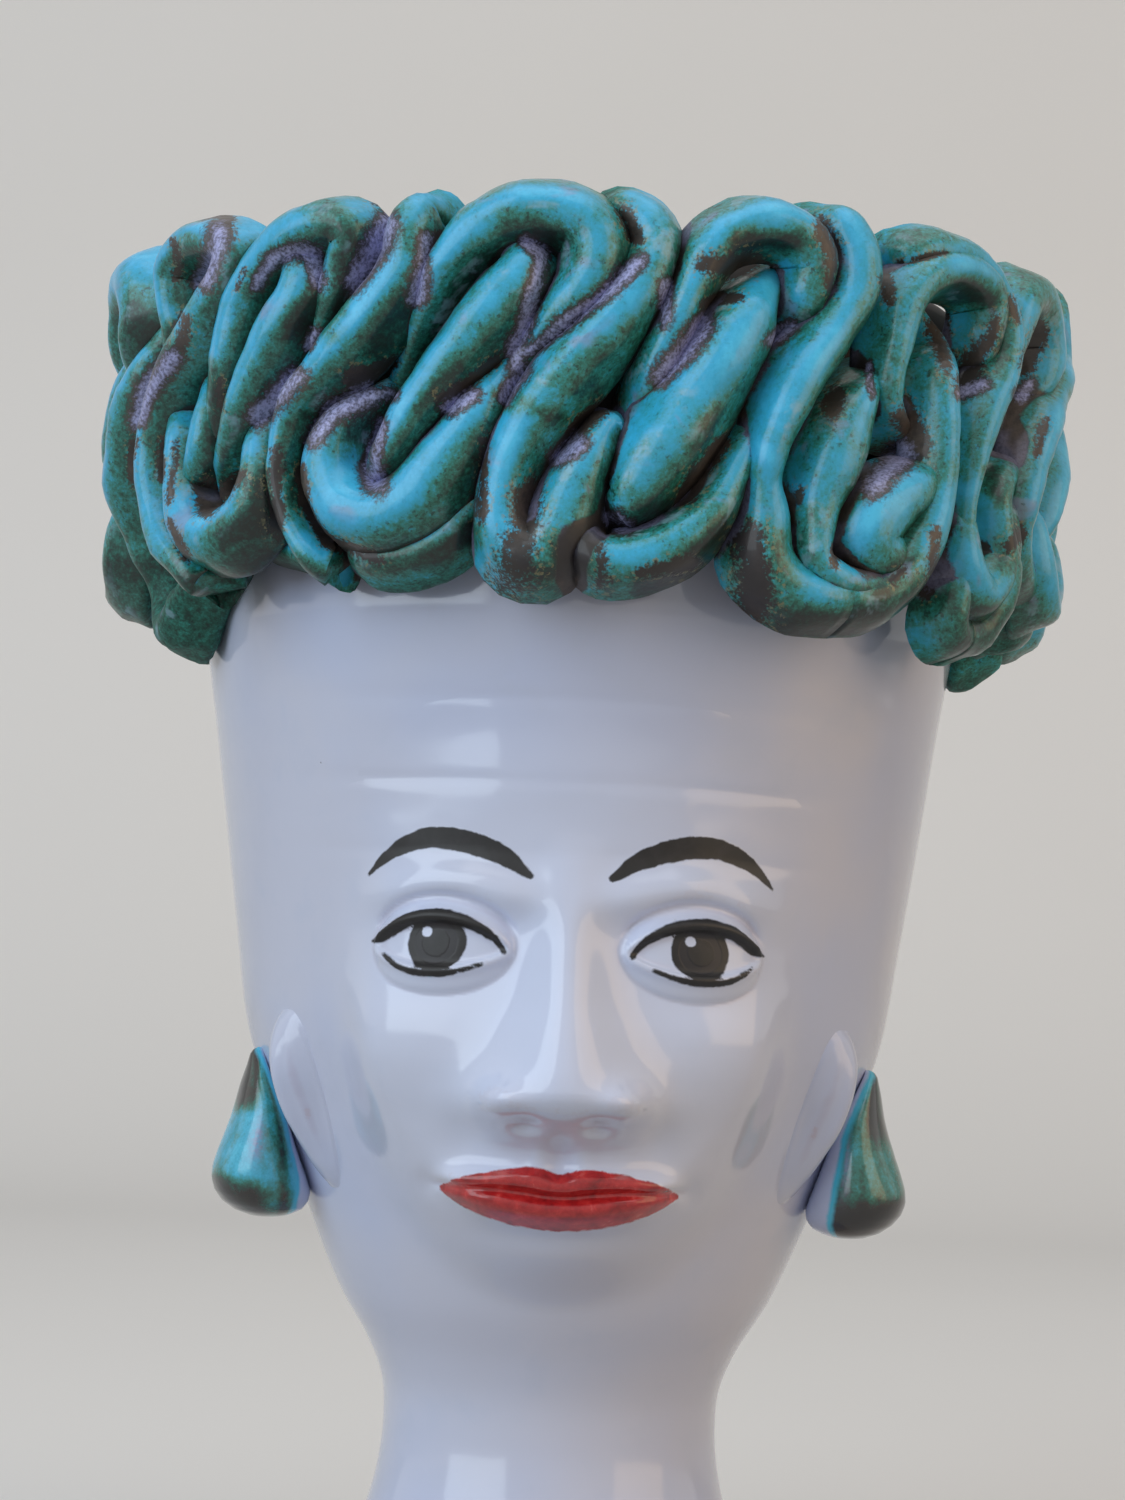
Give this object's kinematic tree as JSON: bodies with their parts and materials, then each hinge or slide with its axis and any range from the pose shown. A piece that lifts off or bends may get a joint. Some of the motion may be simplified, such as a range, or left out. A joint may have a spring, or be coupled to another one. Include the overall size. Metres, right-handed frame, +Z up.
{
  "type": "sculptural vase",
  "caption": "Hollow glazed head-shaped vase on a flared foot, with a calm relief face, ears, teardrop earrings and a crown of plaited coils round the rim.",
  "frame": {"origin": "centre of the foot's flat underside, on the table", "axes": "+Z up along the vessel's axis, -Y the way the face looks, +X the viewer's right seen from the front"},
  "size_m": [0.2062, 0.2065, 0.296],
  "materials": {
    "white_glaze": "gloss tin glaze with a faint lilac cast",
    "crown_glaze": "gloss copper turquoise with dark metallic patches",
    "earring_glaze": "gloss copper turquoise over white"
  },
  "bodies": {
    "root": {"vessel": "white_glaze", "face": "white_glaze", "ear_left": "white_glaze", "ear_right": "white_glaze", "earring_left": "earring_glaze", "earring_right": "earring_glaze", "loop_01": "crown_glaze", "loop_02": "crown_glaze", "loop_03": "crown_glaze", "loop_04": "crown_glaze", "loop_05": "crown_glaze", "loop_06": "crown_glaze", "loop_07": "crown_glaze", "loop_08": "crown_glaze", "loop_09": "crown_glaze", "loop_10": "crown_glaze", "loop_11": "crown_glaze", "loop_12": "crown_glaze", "loop_13": "crown_glaze", "loop_14": "crown_glaze", "loop_15": "crown_glaze", "strand_01": "crown_glaze", "strand_02": "crown_glaze", "strand_03": "crown_glaze", "strand_04": "crown_glaze", "strand_05": "crown_glaze", "strand_06": "crown_glaze", "strand_07": "crown_glaze", "strand_08": "crown_glaze", "strand_09": "crown_glaze", "strand_10": "crown_glaze", "strand_11": "crown_glaze", "strand_12": "crown_glaze", "strand_13": "crown_glaze", "strand_14": "crown_glaze", "strand_15": "crown_glaze"}
  },
  "joints": []
}
